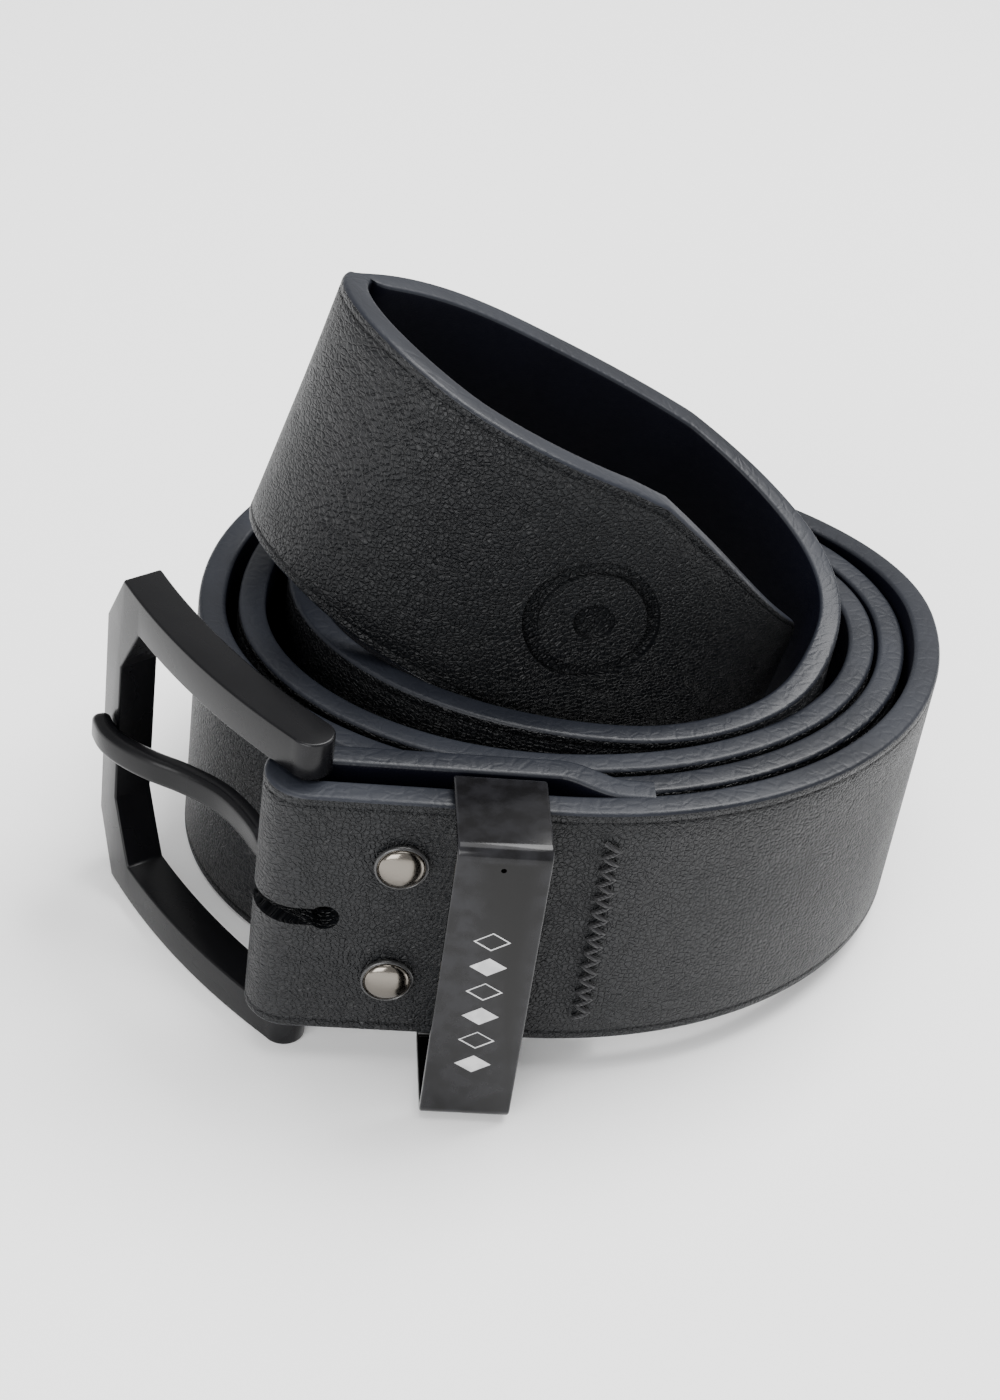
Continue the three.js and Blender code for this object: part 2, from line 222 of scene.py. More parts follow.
# %% Floor, sky and lights
def soft_light(name, place, size, watts, aim=(0, 0, 0.03)):
    light = bpy.data.lights.new(name, "AREA")
    light.shape = "RECTANGLE"
    light.size, light.size_y = size
    light.energy = watts
    lamp = bpy.data.objects.new(name, light)
    lamp.location = place
    lamp.rotation_euler = (Vector(aim) - Vector(place)).to_track_quat("-Z", "Y").to_euler()
    bpy.context.scene.collection.objects.link(lamp)
    return lamp


soft_light("key", (0.30, 0.25, 0.75), (0.5, 0.5), 11)
soft_light("front_fill", (-0.45, -0.75, 0.35), (0.7, 0.5), 9)
soft_light("top", (0.0, 0.0, 0.9), (0.6, 0.6), 5.5)

bpy.ops.object.select_all(action="DESELECT")
bpy.ops.mesh.primitive_plane_add(size=8, location=(0, 0, 0))
floor = bpy.context.object
floor.name = "floor"
floor_finish = bpy.data.materials.new("floor_paper")
floor_finish.use_nodes = True
paper = floor_finish.node_tree.nodes["Principled BSDF"].inputs
paper["Base Color"].default_value = (0.95, 0.95, 0.95, 1)
paper["Roughness"].default_value = 0.9
paper["Emission Color"].default_value = (1, 1, 1, 1)
paper["Emission Strength"].default_value = 0.12
floor.data.materials.append(floor_finish)

sky = bpy.data.worlds.new("studio")
sky.use_nodes = True
sky.node_tree.nodes["Background"].inputs["Color"].default_value = (1, 1, 1, 1)
sky.node_tree.nodes["Background"].inputs["Strength"].default_value = 0.66
bpy.context.scene.world = sky

# %% [markdown]
# ## The belt's line
#
# The strap follows one line, seen in plan: the folded-back layer, half a circle round the heel
# bar, the straight front, and then the coil. Each turn touches its own box at the front, right,
# back and left, and quarters of ellipses join these points. The last turn leans and climbs.
# Heights are summed along the line so that the leather turns but is never sheared.

# %% Sizes of the strap
STRAP_WIDTH = 38 * MM
STRAP_THICKNESS = 3.7 * MM
TIP_LENGTH = 39 * MM
TIP_STEP = 10.5 * MM
TIP_CORNER = 3 * MM
CLEARANCE = 0.3 * MM
ARM_HEIGHT = 5.4 * MM
ARM_GAP = 0.4 * MM
HEEL_BAR = 2.8 * MM
FRAME_HEIGHT = STRAP_WIDTH + 2 * (ARM_HEIGHT + ARM_GAP)
STRAP_LIFT = (FRAME_HEIGHT - STRAP_WIDTH) / 2
MIDDLE = FRAME_HEIGHT / 2
FOLD_GAP = HEEL_BAR + 2 * CLEARANCE
LAYER_PITCH = STRAP_THICKNESS + FOLD_GAP
TACK_FROM_FOLD = 43 * MM

OUTER_REACH = [50, 57.4, 42.4, 41.8]
OUTER_ASIDE = [1.6, 2.8, 1.2, -2.9]
WRAP_CLEARANCE = [0.4, 0.5, 0.6, 1.7, 1.0, 0.5, 1.0, 2.9, 3.3, 3.5, 4.7, 0, 6.9, 2.1]
INNER_ASIDE = [4.4, 12, -1.8, 7.5, 7.3, -6.8, 3.5]
RAISED_QUARTER = 15
RAISED_REACH = 36
COIL_END = 4.17
CLIMB = [
    (2.98, 0), (3.2, 11), (3.4, 24.5), (3.6, 24.5), (3.76, 5), (3.9, -20.5), (4.05, -29), (4.2, -17),
]
LEAN_IN = [(3.15, 0), (3.5, 9), (3.75, 16), (4, 4), (4.2, -2)]
LIFTED_TURNS = 0.45

# %% The coil in plan
def extreme_points():
    """The front, right, back and left points of each turn, round the coil's centre."""
    reach = [r * MM for r in OUTER_REACH]
    for i, gap in enumerate(WRAP_CLEARANCE):
        quarter = i + 4
        folded_layer = LAYER_PITCH if quarter == 4 else 0
        inside = reach[quarter - 4] - STRAP_THICKNESS - folded_layer - gap * MM
        reach.append(RAISED_REACH * MM if quarter == RAISED_QUARTER else inside)
    points = []
    for quarter, r in enumerate(reach):
        aside = OUTER_ASIDE[quarter % 4] if quarter < 11 else INNER_ASIDE[quarter - 11]
        aside *= MM
        points.append([(aside, -r), (r, aside), (aside, r), (-r, aside)][quarter % 4])
    return np.array(points)


extremes = extreme_points()
heel_low, heel_high = (Vector(corner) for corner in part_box("heel_bar"))
heel = (heel_low + heel_high) / 2
front_y = -OUTER_REACH[0] * MM
coil_centre_y = heel.y - (front_y + LAYER_PITCH / 2)
heel_x_in_coil = -28.8 * MM
coil_centre_x = heel.x - heel_x_in_coil


def coil_point(turns):
    quarter = min(int(turns * 4), len(extremes) - 2)
    angle = (turns * 4 - quarter) * math.pi / 2
    start, end = extremes[quarter], extremes[quarter + 1]
    centre = np.array([start[0], end[1]] if quarter % 2 == 0 else [end[0], start[1]])
    return centre + (start - centre) * math.cos(angle) + (end - centre) * math.sin(angle)


def eased(x, low, high):
    t = min(max((x - low) / (high - low), 0), 1)
    return t * t * (3 - 2 * t)


def sine_at(stations, turns):
    degrees = sum(
        (after[1] - before[1]) * eased(turns, before[0], after[0])
        for before, after in zip(stations, stations[1:])
    )
    return math.sin(math.radians(degrees))


print("wraps at the right, mm:", [round(p[0] / MM, 1) for p in extremes[1::4]])

# %% The whole line and its frames
FOLD_X = heel_x_in_coil - FOLD_GAP / 2 - STRAP_THICKNESS
FOLD_BACK_END = FOLD_X + TACK_FROM_FOLD + 5 * MM
LAYERS_OPEN_AT = FOLD_X + 36.5 * MM
LAYERS_CLOSE_OVER = 8 * MM


def folded_layer_y(x):
    still_open = 1 - eased(x, LAYERS_OPEN_AT, LAYERS_OPEN_AT + LAYERS_CLOSE_OVER)
    return front_y + STRAP_THICKNESS + CLEARANCE + (FOLD_GAP - CLEARANCE) * still_open


def plan_line():
    line = []
    for x in np.linspace(FOLD_BACK_END, heel_x_in_coil, 90, endpoint=False):
        line.append((x, folded_layer_y(x), -1))
    for angle in np.linspace(math.pi / 2, 1.5 * math.pi, 60):
        x = heel_x_in_coil + LAYER_PITCH / 2 * math.cos(angle)
        line.append((x, front_y + LAYER_PITCH / 2 * (1 + math.sin(angle)), -1))
    for x in np.linspace(heel_x_in_coil, extremes[0][0], 60, endpoint=False)[1:]:
        line.append((x, front_y, -1))
    for turns in np.linspace(0, COIL_END, 2400):
        line.append((*coil_point(turns), turns))
    return np.array(line)


def strap_frames():
    line = plan_line()
    way = np.gradient(line[:, :2], axis=0)
    way /= np.linalg.norm(way, axis=1)[:, None]
    out = np.stack([way[:, 1], -way[:, 0]], axis=1)
    climbing = np.array([sine_at(CLIMB, turns) for turns in line[:, 2]])
    leaning = np.array([sine_at(LEAN_IN, turns) for turns in line[:, 2]])
    lean = -climbing[:, None] * way - leaning[:, None] * out
    upright = np.sqrt(1 - (lean ** 2).sum(axis=1))
    step = np.r_[0, np.linalg.norm(np.diff(line[:, :2], axis=0), axis=1)]
    lift = [STRAP_LIFT * (1 - eased(turns, 0, LIFTED_TURNS)) for turns in line[:, 2]]
    height = np.cumsum(step * climbing / upright) + lift
    base = np.column_stack([line[:, 0] + coil_centre_x, line[:, 1] + coil_centre_y, height])
    across = np.column_stack([lean, upright])
    outward = np.cross(np.gradient(base, axis=0), across)
    outward /= np.linalg.norm(outward, axis=1)[:, None]
    length = np.r_[0, np.cumsum(np.linalg.norm(np.diff(base, axis=0), axis=1))]
    return length, base, across, outward


frame_length, frame_base, frame_across, frame_out = strap_frames()
STRAP_LENGTH = frame_length[-1]
fold_start = float(np.interp(90, np.arange(len(frame_length)), frame_length))
fold_end = float(np.interp(150, np.arange(len(frame_length)), frame_length))
print("strap length", round(STRAP_LENGTH, 3), "m, fold at", round(fold_start, 4), round(fold_end, 4))


def along(table, length):
    return np.column_stack([np.interp(length, frame_length, table[:, i]) for i in range(3)])


def half_width(length):
    """Half the strap's width, with the tip's two slanted corners and its rounded nose."""
    left = STRAP_LENGTH - length
    taper = np.clip(1 - left / TIP_LENGTH, 0, 1)
    half = STRAP_WIDTH / 2 - TIP_STEP * taper
    inset = np.clip(TIP_CORNER - left, 0, TIP_CORNER)
    return half - TIP_CORNER + np.sqrt(TIP_CORNER ** 2 - inset ** 2 * 0.96)


def wind(flat):
    """From the flat strap (along, thickness with the face at -y, across) to the coil."""
    length, thickness, across = flat[:, 0], flat[:, 1], flat[:, 2]
    from_middle = (across - STRAP_WIDTH / 2) * half_width(length) / (STRAP_WIDTH / 2)
    outward = along(frame_out, length)
    outward /= np.linalg.norm(outward, axis=1)[:, None]
    raised = (STRAP_WIDTH / 2 + from_middle)[:, None] * along(frame_across, length)
    return along(frame_base, length) - outward * thickness[:, None] + raised


# %% [markdown]
# ## The strap, cut flat and then wound
#
# A belt maker cuts, punches, creases and edges the strap flat, and only then folds and winds
# it. The same order works here: a long box gets rounded edges, a crease line pressed along
# each edge, punched holes and the ornament's recess while it's straight. Then every vertex
# is carried to its place on the line. The flat coordinates stay with it as a UV map, so the
# grain follows the leather round the coil. The thickness is added to the width there, so that
# the grain isn't drawn out into streaks on the cut edges.

# %% Cut the strap
EDGE_ROUND = 0.65 * MM
CREASE = {"from_edge": 1.5 * MM, "half_width": 0.28 * MM, "depth": 0.16 * MM}
half_thickness = STRAP_THICKNESS / 2

strap = block("strap_leather", (0, -half_thickness, 0), (STRAP_LENGTH, half_thickness, STRAP_WIDTH))
edit(strap)
pick(strap, "EDGE", runs_along(0))
bpy.ops.mesh.bevel(offset=EDGE_ROUND, segments=4, profile=0.5, affect="EDGES")
crease_rows = [CREASE["from_edge"] + k * CREASE["half_width"] for k in (-1, 0, 1)]
rows = crease_rows + [STRAP_WIDTH - z for z in crease_rows] + list(np.linspace(5, 33, 9) * MM)
cut_across(strap, 2, rows)
middle_rows = [crease_rows[1], STRAP_WIDTH - crease_rows[1]]
pick(strap, "VERT", lambda v: v.co.y < -half_thickness + 1e-6
     and any(abs(v.co.z - z) < 1e-6 for z in middle_rows))
bpy.ops.transform.translate(value=(0, CREASE["depth"], 0))
tip_start = STRAP_LENGTH - TIP_LENGTH
cut_across(strap, 0, [fold_start, fold_end, tip_start, STRAP_LENGTH - TIP_CORNER])
nose_start = STRAP_LENGTH - TIP_CORNER
stretches = [(0, fold_start, 1.1), (fold_start, fold_end, 0.4), (fold_end, tip_start, 1.3),
             (tip_start, nose_start, 1.0), (nose_start, STRAP_LENGTH, 0.25)]


MOST_CUTS = 90


def divide(piece, low, high, step):
    """Cross cuts between two lengths, at most a hundred at a time, which is all one cut allows."""
    steps = max(2, round((high - low) / step))
    spans = 1 + steps // MOST_CUTS
    for cuts in (spans - 1, round(steps / spans) - 1):
        pick(
            piece, "EDGE",
            lambda e: runs_along(0)(e) and low < (e.verts[0].co.x + e.verts[1].co.x) / 2 < high,
        )
        if cuts:
            bpy.ops.mesh.subdivide(number_cuts=cuts)


for low, high, step in stretches:
    divide(strap, low, high, step * MM)
done()
print("flat strap:", len(strap.data.vertices), "vertices")

# %% [markdown]
# The holes, the prong's slot and the rivet holes are punched with one set of cutters. The flat
# strap's own length tells where each goes: the belt holes count back from the tip, and the
# rest from the fold.

# %% Punch the holes
HOLE = {"count": 5, "radius": 2.25 * MM, "pitch": 25 * MM, "first_from_tip": 112 * MM}
SLOT = {"half": 1.35 * MM, "end_radius": 1.9 * MM, "length": 10.2 * MM}
RIVET = {"post": 1.5 * MM, "half_spacing": 9.35 * MM, "from_fold": 17.5 * MM}
TACK_LENGTH = 30 * MM
to_face = FOLD_X - heel_x_in_coil  # from the heel bar's line to the fold's outermost point


def strap_place(x_from_fold, folded_layer=False):
    """Length along the strap of a point a given way in from the fold's outermost point."""
    past_heel = x_from_fold + to_face
    return fold_start - past_heel if folded_layer else fold_end + past_heel


def punch(name, x, z, radius, sides=28):
    reach = STRAP_THICKNESS
    return rod(name, radius, (x, -reach, z), (x, reach, z), sides)


first_hole = STRAP_LENGTH - HOLE["first_from_tip"]
cutters = [
    punch("cutter", first_hole - i * HOLE["pitch"], STRAP_WIDTH / 2, HOLE["radius"])
    for i in range(HOLE["count"])
]
for folded in (False, True):
    for side in (-1, 1):
        height = STRAP_WIDTH / 2 + side * RIVET["half_spacing"]
        x = strap_place(RIVET["from_fold"], folded)
        cutters.append(punch("cutter", x, height, RIVET["post"] + CLEARANCE, 20))
    slot_end = strap_place(SLOT["length"] - SLOT["end_radius"], folded)
    cutters.append(punch("cutter", slot_end, STRAP_WIDTH / 2, SLOT["end_radius"], 24))
carve(strap, join(cutters))
slot_ends = sorted(
    strap_place(SLOT["length"] - SLOT["end_radius"], folded) for folded in (False, True)
)
carve(strap, block(
    "cutter",
    (slot_ends[0], -STRAP_THICKNESS, STRAP_WIDTH / 2 - SLOT["half"]),
    (slot_ends[1], STRAP_THICKNESS, STRAP_WIDTH / 2 + SLOT["half"]),
))
print("punched strap:", len(strap.data.polygons), "faces")

# %% [markdown]
# The tip carries a plain pressed ornament: a ring round a smaller disc. Pressing means cutting
# a shallow recess into the face with a stamp whose floor edges are softened.

# %% Press the ornament
ORNAMENT = {"from_tip": 37.5 * MM, "radius": 9.2 * MM, "line": 2.0 * MM, "depth": 1.0 * MM}
press_x = STRAP_LENGTH - ORNAMENT["from_tip"]
press_floor = -half_thickness + ORNAMENT["depth"]


def stamp_disc(radius, top=-STRAP_THICKNESS, bottom=press_floor):
    return rod("stamp", radius, (press_x, top, STRAP_WIDTH / 2), (press_x, bottom, STRAP_WIDTH / 2), 72)


stamp = stamp_disc(ORNAMENT["radius"])
carve(stamp, stamp_disc(ORNAMENT["radius"] - ORNAMENT["line"], -2 * STRAP_THICKNESS, STRAP_THICKNESS))
stamp = join([stamp, stamp_disc(0.3 * ORNAMENT["radius"])])
edit(stamp)
pick(stamp, "EDGE", lambda e: all(abs(v.co.y - press_floor) < 1e-6 for v in e.verts))
bpy.ops.mesh.bevel(offset=0.3 * MM, segments=3, affect="EDGES")
done()
carve(strap, stamp)
print("pressed strap:", len(strap.data.polygons), "faces")

# %% Keep the flat coordinates, then wind the strap
flat = points_of(strap)
uv_layer = strap.data.uv_layers.new(name="flat_strap")
for loop in strap.data.loops:
    x, y, z = flat[loop.vertex_index]
    uv_layer.data[loop.index].uv = (x, z + y)

FACE, LINING, EDGE = range(3)
polygon_middle = np.empty(len(strap.data.polygons) * 3)
strap.data.polygons.foreach_get("center", polygon_middle)
polygon_middle = polygon_middle.reshape(-1, 3)
surface = np.full(len(polygon_middle), FACE)
flatness = half_thickness - 0.35 * EDGE_ROUND
surface[polygon_middle[:, 1] > flatness] = LINING
at_edge = np.abs(polygon_middle[:, 2] - STRAP_WIDTH / 2) > STRAP_WIDTH / 2 - 0.55 * EDGE_ROUND
at_edge |= (polygon_middle[:, 0] > STRAP_LENGTH - 0.3 * MM) | (polygon_middle[:, 0] < 0.3 * MM)
surface[at_edge] = EDGE
strap.data.polygons.foreach_set("material_index", surface)
move_points(strap, wind(flat))
smooth(strap, 35)
print("wound strap:", len(strap.data.polygons), "faces")

# %% [markdown]
# ## The buckle
#
# The frame is a cast U: two bowed arms, an end bar with cut corners, and a boss at each arm's
# end for the heel bar. It's drawn in line with the strap, where its shapes are simple, and
# swung to its place at the end. The bow comes from cross cuts moved outwards along a parabola.

# %% Buckle frame
BUCKLE_LENGTH = 45.5 * MM
FRAME_THICKNESS = 5.6 * MM
FRAME_BOW = 2.2 * MM
END_BAR = 5.2 * MM
CORNER = (5 * MM, 8.5 * MM)
HEEL_WALL = 1.6 * MM
SWING = math.radians(-55.6)
boss = FRAME_THICKNESS / 2
end_x = boss - BUCKLE_LENGTH
half_height = FRAME_HEIGHT / 2
buckle_place = Matrix.Translation(Vector((heel.x, heel.y, MIDDLE))) @ Matrix.Rotation(SWING, 4, "Z")


def trimmed_block(name, x_low, x_high, y, z):
    """A block with its two corners at the low x cut off."""
    piece = block(name, (x_low, -y, -z), (x_high, y, z))
    edit(piece)
    for side in (-1, 1):
        bpy.ops.mesh.select_all(action="SELECT")
        normal = Vector((-CORNER[1], 0, side * CORNER[0])).normalized()
        bpy.ops.mesh.bisect(
            plane_co=(x_low + CORNER[0], 0, side * z), plane_no=normal, use_fill=True, clear_outer=True
        )
    done()
    return piece


def bow(x):
    t = np.clip(x / end_x, 0, 1)
    return -4 * FRAME_BOW * t * (1 - t)


buckle = trimmed_block("buckle_body", end_x, boss, boss, half_height)
window = trimmed_block("window", end_x + END_BAR, 2 * boss, 2 * boss, STRAP_WIDTH / 2 + ARM_GAP)
carve(buckle, window)
edit(buckle)
at_heel = lambda e: all(v.co.x > boss - 1e-6 for v in e.verts) and runs_along(2)(e)
pick(buckle, "EDGE", at_heel)
bpy.ops.mesh.bevel(offset=boss * 0.98, segments=8, affect="EDGES")
cut_across(buckle, 0, np.linspace(end_x + CORNER[0] + 0.4 * MM, -0.5 * MM, 26))
done()
modify(buckle, "BEVEL", width=1.6 * MM, segments=5, limit_method="ANGLE", angle_limit=math.radians(35))
bore_end = half_height - HEEL_WALL
carve(buckle, rod("bore", FOLD_GAP / 2, (0, 0, -bore_end), (0, 0, bore_end)))
shape = points_of(buckle)
shape[:, 1] += bow(shape[:, 0])
move_points(buckle, shape)
buckle.matrix_world = buckle_place
settle(buckle)
smooth(buckle, 40)
print("buckle:", len(buckle.data.polygons), "faces")

# %% [markdown]
# ## The prong
#
# The prong is a forged rod: a ring round the heel bar, a narrow root that passes through the
# strap's slot, then a wider shank that dips into the window and rises over the end bar. A
# straight bar with rounded edges is carried onto a smooth centre line through a few points.

# %% Prong
PRONG_THICKNESS = 2.6 * MM
PRONG_WIDTH = 4.2 * MM
ROOT_WIDTH = 2 * SLOT["half"] - 2 * CLEARANCE
EYE_WALL = 1.2 * MM
PRONG_LINE = np.array([
    (-1.9, 0.2), (-8, 0.8), (-14, 1.5), (-19.5, 1.2), (-25, -0.8), (-29.5, -3.2), (-33.8, -4.8),
    (-37.4, -5.3), (-41.0, -4.5),
]) * MM
PRONG_WIDENS = (7 * MM, 10 * MM)


def smooth_line(points, samples):
    """A Catmull-Rom line through the points, evenly stepped by parameter."""
    padded = np.vstack([2 * points[0] - points[1], points, 2 * points[-1] - points[-2]])
    line = []
    for s in np.linspace(0, len(points) - 1, samples):
        i = min(int(s), len(points) - 2)
        t = s - i
        a, b, c, d = padded[i:i + 4]
        line.append(0.5 * (2 * b + (c - a) * t + (2 * a - 5 * b + 4 * c - d) * t ** 2
                           + (3 * b - a - 3 * c + d) * t ** 3))
    return np.array(line)


route = smooth_line(PRONG_LINE, 90)
route_way = np.gradient(route, axis=0)
route_way /= np.linalg.norm(route_way, axis=1)[:, None]
half_prong = Vector((0, PRONG_THICKNESS / 2, PRONG_WIDTH / 2))
prong = block("prong_body", -half_prong, half_prong + Vector((1, 0, 0)))
edit(prong)
pick(prong, "EDGE", runs_along(0))
bpy.ops.mesh.bevel(offset=1.05 * MM, segments=6, affect="EDGES")
pick(prong, "EDGE", runs_along(0))
bpy.ops.mesh.subdivide(number_cuts=60)
done()
shape = points_of(prong)
share = shape[:, 0]
station = share * (len(route) - 1)
place = np.column_stack([np.interp(station, np.arange(len(route)), route[:, i]) for i in range(2)])
way = np.column_stack([np.interp(station, np.arange(len(route)), route_way[:, i]) for i in range(2)])
widens = np.clip((-place[:, 0] - PRONG_WIDENS[0]) / (PRONG_WIDENS[1] - PRONG_WIDENS[0]), 0, 1)
width = ROOT_WIDTH + (PRONG_WIDTH - ROOT_WIDTH) * widens * widens * (3 - 2 * widens)
nose = np.sqrt(np.clip(1 - np.clip((share - 0.965) / 0.035, 0, 1) ** 2 * 0.75, 0, 1))
shape[:, 2] *= width / PRONG_WIDTH * nose
across_line = shape[:, 1] * nose
shape[:, 0] = place[:, 0] + way[:, 1] * across_line
shape[:, 1] = place[:, 1] - way[:, 0] * across_line
move_points(prong, shape)
edit(prong)
bpy.ops.mesh.normals_make_consistent(inside=False)
done()
eye = FOLD_GAP / 2
ring = rod("ring", eye + EYE_WALL, (0, 0, -ROOT_WIDTH / 2), (0, 0, ROOT_WIDTH / 2), 40)
modify(ring, "BEVEL", width=0.35 * MM, segments=3, limit_method="ANGLE")
carve(prong, ring, "UNION")
carve(prong, rod("bore", eye, (0, 0, -PRONG_WIDTH), (0, 0, PRONG_WIDTH), 40))
prong.matrix_world = buckle_place
settle(prong)
smooth(prong, 40)
print("prong:", len(prong.data.polygons), "faces")

# %% [markdown]
# ## The keeper
#
# The keeper is a flat metal loop, bent from strip and closed at the back. A box with rounded
# long edges is hollowed with a smaller one, and its rims are softened so that they catch light.
# A row of small inlaid lozenges runs down its front, and a pinhole marks its upper end.

# %% Keeper
KEEPER_WALL = 1.2 * MM
keeper_low, keeper_high = (Vector(corner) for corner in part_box("keeper"))


def loop_block(name, inset, radius, past):
    low = keeper_low + Vector((-past, inset, inset))
    high = keeper_high + Vector((past, -inset, -inset))
    piece = block(name, low, high)
    edit(piece)
    pick(piece, "EDGE", runs_along(0))
    bpy.ops.mesh.bevel(offset=radius, segments=6, affect="EDGES")
    done()
    return piece


keeper = loop_block("keeper_loop", 0, 1.7 * MM, 0)
carve(keeper, loop_block("hollow", KEEPER_WALL, 0.6 * MM, MM))
modify(keeper, "BEVEL", width=0.32 * MM, segments=3, limit_method="ANGLE", angle_limit=math.radians(40))
keeper_x = (keeper_low.x + keeper_high.x) / 2
pin_z = keeper_high.z - 3.0 * MM
pinhole = rod("pinhole", 0.35 * MM, (keeper_x, keeper_low.y - MM, pin_z),
              (keeper_x, keeper_low.y + 0.7 * KEEPER_WALL, pin_z), 16)
carve(keeper, pinhole)
smooth(keeper, 40)
print("keeper:", len(keeper.data.polygons), "faces")

# %% Keeper's inlaid marks
def lozenge(name, centre, half_length, half_height, y_low, y_high):
    """A four-sided cylinder, facing the front."""
    bpy.ops.object.select_all(action="DESELECT")
    bpy.ops.mesh.primitive_cylinder_add(
        vertices=4, radius=1, depth=1, location=(centre[0], (y_low + y_high) / 2, centre[1])
    )
    piece = bpy.context.object
    piece.name = name
    piece.rotation_euler = (math.pi / 2, 0, 0)
    piece.scale = (half_length, half_height, y_high - y_low)
    settle(piece)
    return piece


MARK = {
    "count": 6, "pitch": 4.1 * MM, "half_width": 2.3 * MM, "half_height": 1.45 * MM,
    "proud": 0.03 * MM,
}
mark_middle = keeper_low.z + 0.45 * (keeper_high.z - keeper_low.z)
marks = []
for i in range(MARK["count"]):
    z = mark_middle + (i - (MARK["count"] - 1) / 2) * MARK["pitch"]
    mark = lozenge("keeper_marks", (keeper_x, z), MARK["half_width"], MARK["half_height"],
                   keeper_low.y - MARK["proud"], keeper_low.y + 0.15 * MM)
    edit(mark)
    pick(mark, "FACE", lambda f: f.normal.y < -0.9)
    bpy.ops.mesh.inset(thickness=0.55 * MM)
    if i % 2:
        bpy.ops.transform.translate(value=(0, 0.1 * MM, 0))
    done()
    marks.append(mark)
keeper_marks = join(marks)
keeper_marks.name = "keeper_marks"
print("marks:", MARK["count"])

# %% [markdown]
# ## Rivets
#
# A rivet is turned work: a circle is pulled up along its axis step by step, and resized at each
# step, which is how a lathe profile is made by hand. Its cap is a dome in a raised ring. The
# post goes through both layers of leather, and the back cap is a flat turned disc.

# %% Rivets
def turned(name, profile, sides=48):
    """A solid of revolution about Z from (radius, height) steps."""
    bpy.ops.object.select_all(action="DESELECT")
    radius, height = profile[0]
    bpy.ops.mesh.primitive_circle_add(
        vertices=sides, radius=radius, fill_type="NGON", location=(0, 0, height)
    )
    piece = bpy.context.object
    piece.name = name
    settle(piece)
    bpy.ops.object.mode_set(mode="EDIT")
    bpy.ops.mesh.select_all(action="SELECT")
    for new_radius, new_height in profile[1:]:
        bpy.ops.mesh.extrude_region_move(TRANSFORM_OT_translate={"value": (0, 0, new_height - height)})
        scale = new_radius / radius
        bpy.ops.transform.resize(value=(scale, scale, 1), center_override=(0, 0, new_height))
        radius, height = new_radius, new_height
    bpy.ops.mesh.select_all(action="SELECT")
    bpy.ops.mesh.normals_make_consistent(inside=False)
    bpy.ops.object.mode_set(mode="OBJECT")
    return piece


post_reach = LAYER_PITCH + STRAP_THICKNESS - CLEARANCE
cap_profile = [(1.5, -post_reach / MM), (1.5, 0.3), (3.3, 0.3), (3.4, 0.4), (3.4, 0.72), (3.28, 0.9),
               (3.1, 0.94), (2.98, 0.84), (2.92, 0.72), (2.88, 0.74)]
cap_profile += [(2.88 * math.cos(a), 0.74 + 1.0 * math.sin(a)) for a in np.linspace(0.12, 1.5, 10)]
back_profile = [(3.1, 0.3), (3.1, 0.75), (2.9, 0.95), (2.4, 1.0), (2.1, 1.25), (0.3, 1.3)]
outer_face_y = front_y - half_thickness + coil_centre_y
folded_face_y = outer_face_y + LAYER_PITCH + STRAP_THICKNESS
rivet_x = FOLD_X + RIVET["from_fold"] + coil_centre_x
rivets = []
for label, side in (("upper", 1), ("lower", -1)):
    z = MIDDLE + side * RIVET["half_spacing"]
    cap = turned(f"rivet_cap_{label}_turned", [(r * MM, h * MM) for r, h in cap_profile])
    to_front = Matrix.Rotation(math.pi / 2, 4, "X")
    cap.matrix_world = Matrix.Translation((rivet_x, outer_face_y, z)) @ to_front
    back = turned(f"rivet_back_{label}_turned", [(r * MM, h * MM) for r, h in back_profile])
    back.matrix_world = Matrix.Translation((rivet_x, folded_face_y, z)) @ to_front.inverted()
    for piece in (cap, back):
        settle(piece)
        smooth(piece, 50)
    rivets.append((label, cap, back))
print("rivets:", len(rivets))

# %% [markdown]
# ## The bar-tack
#
# A bar-tack is one thread that zigzags across a line. Its path is a loop's work, so it's made
# as a curve with a round section, then turned into a mesh. The needle thread shows as slanted
# stitches on the face and the bobbin thread as a finer row behind.

# %% Bar-tack
tack_x = FOLD_X + TACK_FROM_FOLD + coil_centre_x


def zigzag(name, y, stitches, half_width, radius, bulge):
    """A thread that goes from side to side, dipping into the leather at each needle hole."""
    curve = bpy.data.curves.new(name, "CURVE")
    curve.dimensions = "3D"
    curve.bevel_depth = radius
    curve.bevel_resolution = 2
    curve.resolution_u = 3
    curve.use_fill_caps = True
    spline = curve.splines.new("POLY")
    steps = 4
    total = stitches * steps
    spline.points.add(total)
    for i in range(total + 1):
        across = abs((i / steps + 1) % 2 - 1) * 2 - 1
        z = MIDDLE - TACK_LENGTH / 2 + radius + (TACK_LENGTH - 2 * radius) * i / total
        dip = abs(across) ** 3 * bulge
        spline.points[i].co = (tack_x + half_width * across, y + dip, z, 1)
    piece = bpy.data.objects.new(name, curve)
    bpy.context.scene.collection.objects.link(piece)
    only(piece)
    bpy.ops.object.convert(target="MESH")
    piece = bpy.context.object
    smooth(piece, 60)
    return piece


needle = zigzag("needle_stitches", outer_face_y - 0.05 * MM, 26, 0.95 * MM, 0.34 * MM, 0.2 * MM)
tack_back_y = folded_layer_y(tack_x - coil_centre_x) + coil_centre_y + half_thickness
bobbin = zigzag("bobbin_stitches", tack_back_y + 0.05 * MM, 26, 0.8 * MM, 0.28 * MM, -0.2 * MM)
print("stitches:", len(needle.data.polygons), "faces")

# %% [markdown]
# ## Finishes
#
# Small node helpers first. Effects that more than one finish uses are groups with named
# inputs and outputs: leather grain, and the wear that polishes metal edges.

